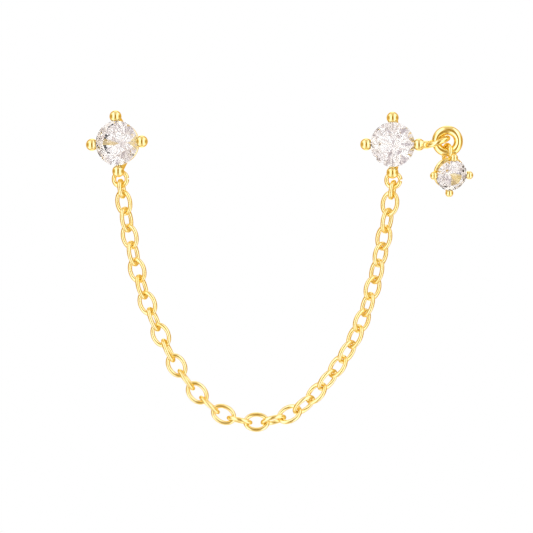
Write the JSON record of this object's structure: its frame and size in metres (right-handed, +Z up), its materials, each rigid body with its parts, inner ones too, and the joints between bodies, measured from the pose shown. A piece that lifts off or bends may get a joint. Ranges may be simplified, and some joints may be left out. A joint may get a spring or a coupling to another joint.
{
  "type": "ear chain earring",
  "caption": "Ear chain earring: two claw-set round stones on ear posts joined by a hanging oval cable chain, with a small claw-set drop on a ring at one side.",
  "frame": {"origin": "where the left stud's post leaves its foot and enters the ear's front", "axes": "+X from the left stud towards the right stud, +Y into the ear along the posts, +Z up, so the stones face -Y"},
  "size_m": [0.0267, 0.0133, 0.0224],
  "materials": {
    "gold": "polished yellow gold colour plating",
    "stone": "clear cut stone, polished facets"
  },
  "bodies": {
    "root": {"left_setting": "gold", "left_stone": "stone", "right_setting": "gold", "right_stone": "stone", "left_jump_ring": "gold", "right_jump_ring": "gold", "chain_link_01": "gold", "chain_link_02": "gold", "chain_link_03": "gold", "chain_link_04": "gold", "chain_link_05": "gold", "chain_link_06": "gold", "chain_link_07": "gold", "chain_link_08": "gold", "chain_link_09": "gold", "chain_link_10": "gold", "chain_link_11": "gold", "chain_link_12": "gold", "chain_link_13": "gold", "chain_link_14": "gold", "chain_link_15": "gold", "chain_link_16": "gold", "chain_link_17": "gold", "chain_link_18": "gold", "chain_link_19": "gold", "chain_link_20": "gold", "chain_link_21": "gold", "chain_link_22": "gold", "chain_link_23": "gold", "chain_link_24": "gold", "chain_link_25": "gold", "chain_link_26": "gold", "chain_link_27": "gold", "chain_link_28": "gold", "chain_link_29": "gold", "chain_link_30": "gold", "chain_link_31": "gold", "chain_link_32": "gold", "chain_link_33": "gold", "drop_ring": "gold", "drop_setting": "gold", "drop_stone": "stone"}
  },
  "joints": []
}
